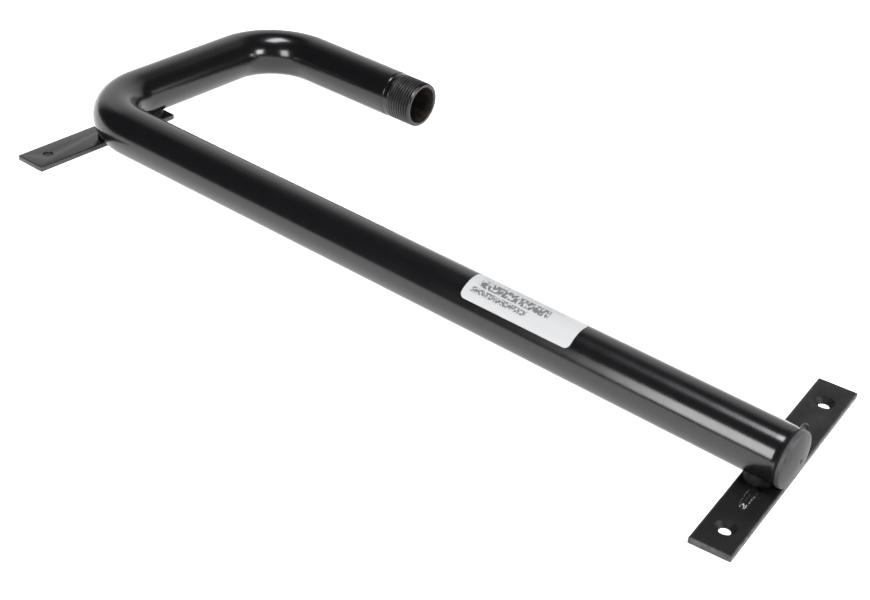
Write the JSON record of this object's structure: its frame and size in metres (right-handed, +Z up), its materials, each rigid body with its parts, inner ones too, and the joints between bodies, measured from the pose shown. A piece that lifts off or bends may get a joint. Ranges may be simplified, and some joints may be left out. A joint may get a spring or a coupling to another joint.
{
  "type": "bent pipe mounting bar",
  "caption": "Bent steel pipe bar with a closed end, an open male-threaded end and welded flat straps with bolt holes for mounting.",
  "frame": {"origin": "middle of the whole part's footprint, at the underside of both straps", "axes": "+X along the long leg towards its capped end, +Y across from the long leg to the short threaded leg, +Z up from the straps to the pipe"},
  "size_m": [0.5679, 0.2705, 0.038],
  "materials": {
    "black_paint": "gloss black",
    "strap_paint": "semi-gloss black",
    "weld_paint": "semi-gloss black",
    "label_paper": "matt white label stock"
  },
  "bodies": {
    "root": {"bent_pipe": "black_paint", "end_cap": "black_paint", "end_cap_weld": "weld_paint", "near_strap": "strap_paint", "near_strap_weld_front": "weld_paint", "near_strap_weld_back": "weld_paint", "near_strap_bead_front": "weld_paint", "near_strap_bead_back": "weld_paint", "far_strap": "strap_paint", "far_strap_weld_outer": "weld_paint", "far_strap_weld_inner": "weld_paint", "label": "label_paper"}
  },
  "joints": []
}
